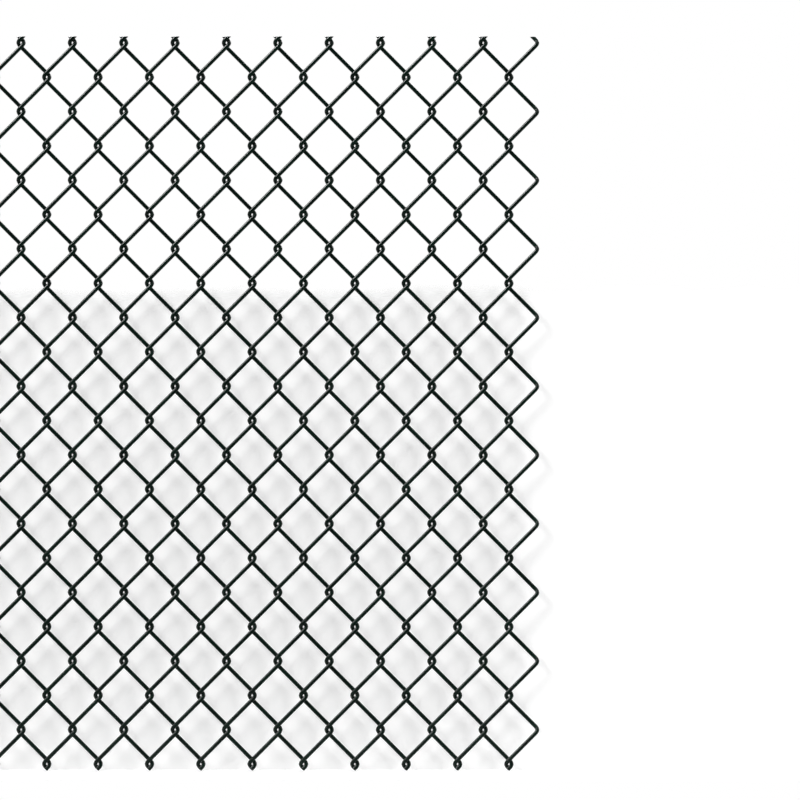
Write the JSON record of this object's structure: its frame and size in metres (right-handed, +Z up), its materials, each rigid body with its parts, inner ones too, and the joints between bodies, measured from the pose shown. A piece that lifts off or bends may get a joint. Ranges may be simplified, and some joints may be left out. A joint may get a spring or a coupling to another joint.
{
  "type": "chain link fence",
  "caption": "Upright stretch of green plastic-coated chain link mesh: zigzag wires hooked through each other in diamonds, with the wire ends cut off along its top and bottom edges.",
  "frame": {"origin": "foot of the left edge, in the middle of the mesh's thickness, on the line of free bends where the first wire is fastened to its post", "axes": "+X along the fence to the right, +Y to the back, +Z up"},
  "size_m": [0.7044, 0.011, 0.8998],
  "materials": {
    "green_coat": "glossy dark green plastic coat on steel wire"
  },
  "bodies": {
    "root": {"spiral_wire_01": "green_coat", "spiral_wire_02": "green_coat", "spiral_wire_03": "green_coat", "spiral_wire_04": "green_coat", "spiral_wire_05": "green_coat", "spiral_wire_06": "green_coat", "spiral_wire_07": "green_coat", "spiral_wire_08": "green_coat", "spiral_wire_09": "green_coat", "spiral_wire_10": "green_coat", "spiral_wire_11": "green_coat", "spiral_wire_12": "green_coat", "spiral_wire_13": "green_coat", "spiral_wire_14": "green_coat", "spiral_wire_15": "green_coat", "spiral_wire_16": "green_coat", "spiral_wire_17": "green_coat", "spiral_wire_18": "green_coat", "spiral_wire_19": "green_coat", "spiral_wire_20": "green_coat", "spiral_wire_21": "green_coat", "spiral_wire_22": "green_coat"}
  },
  "joints": []
}
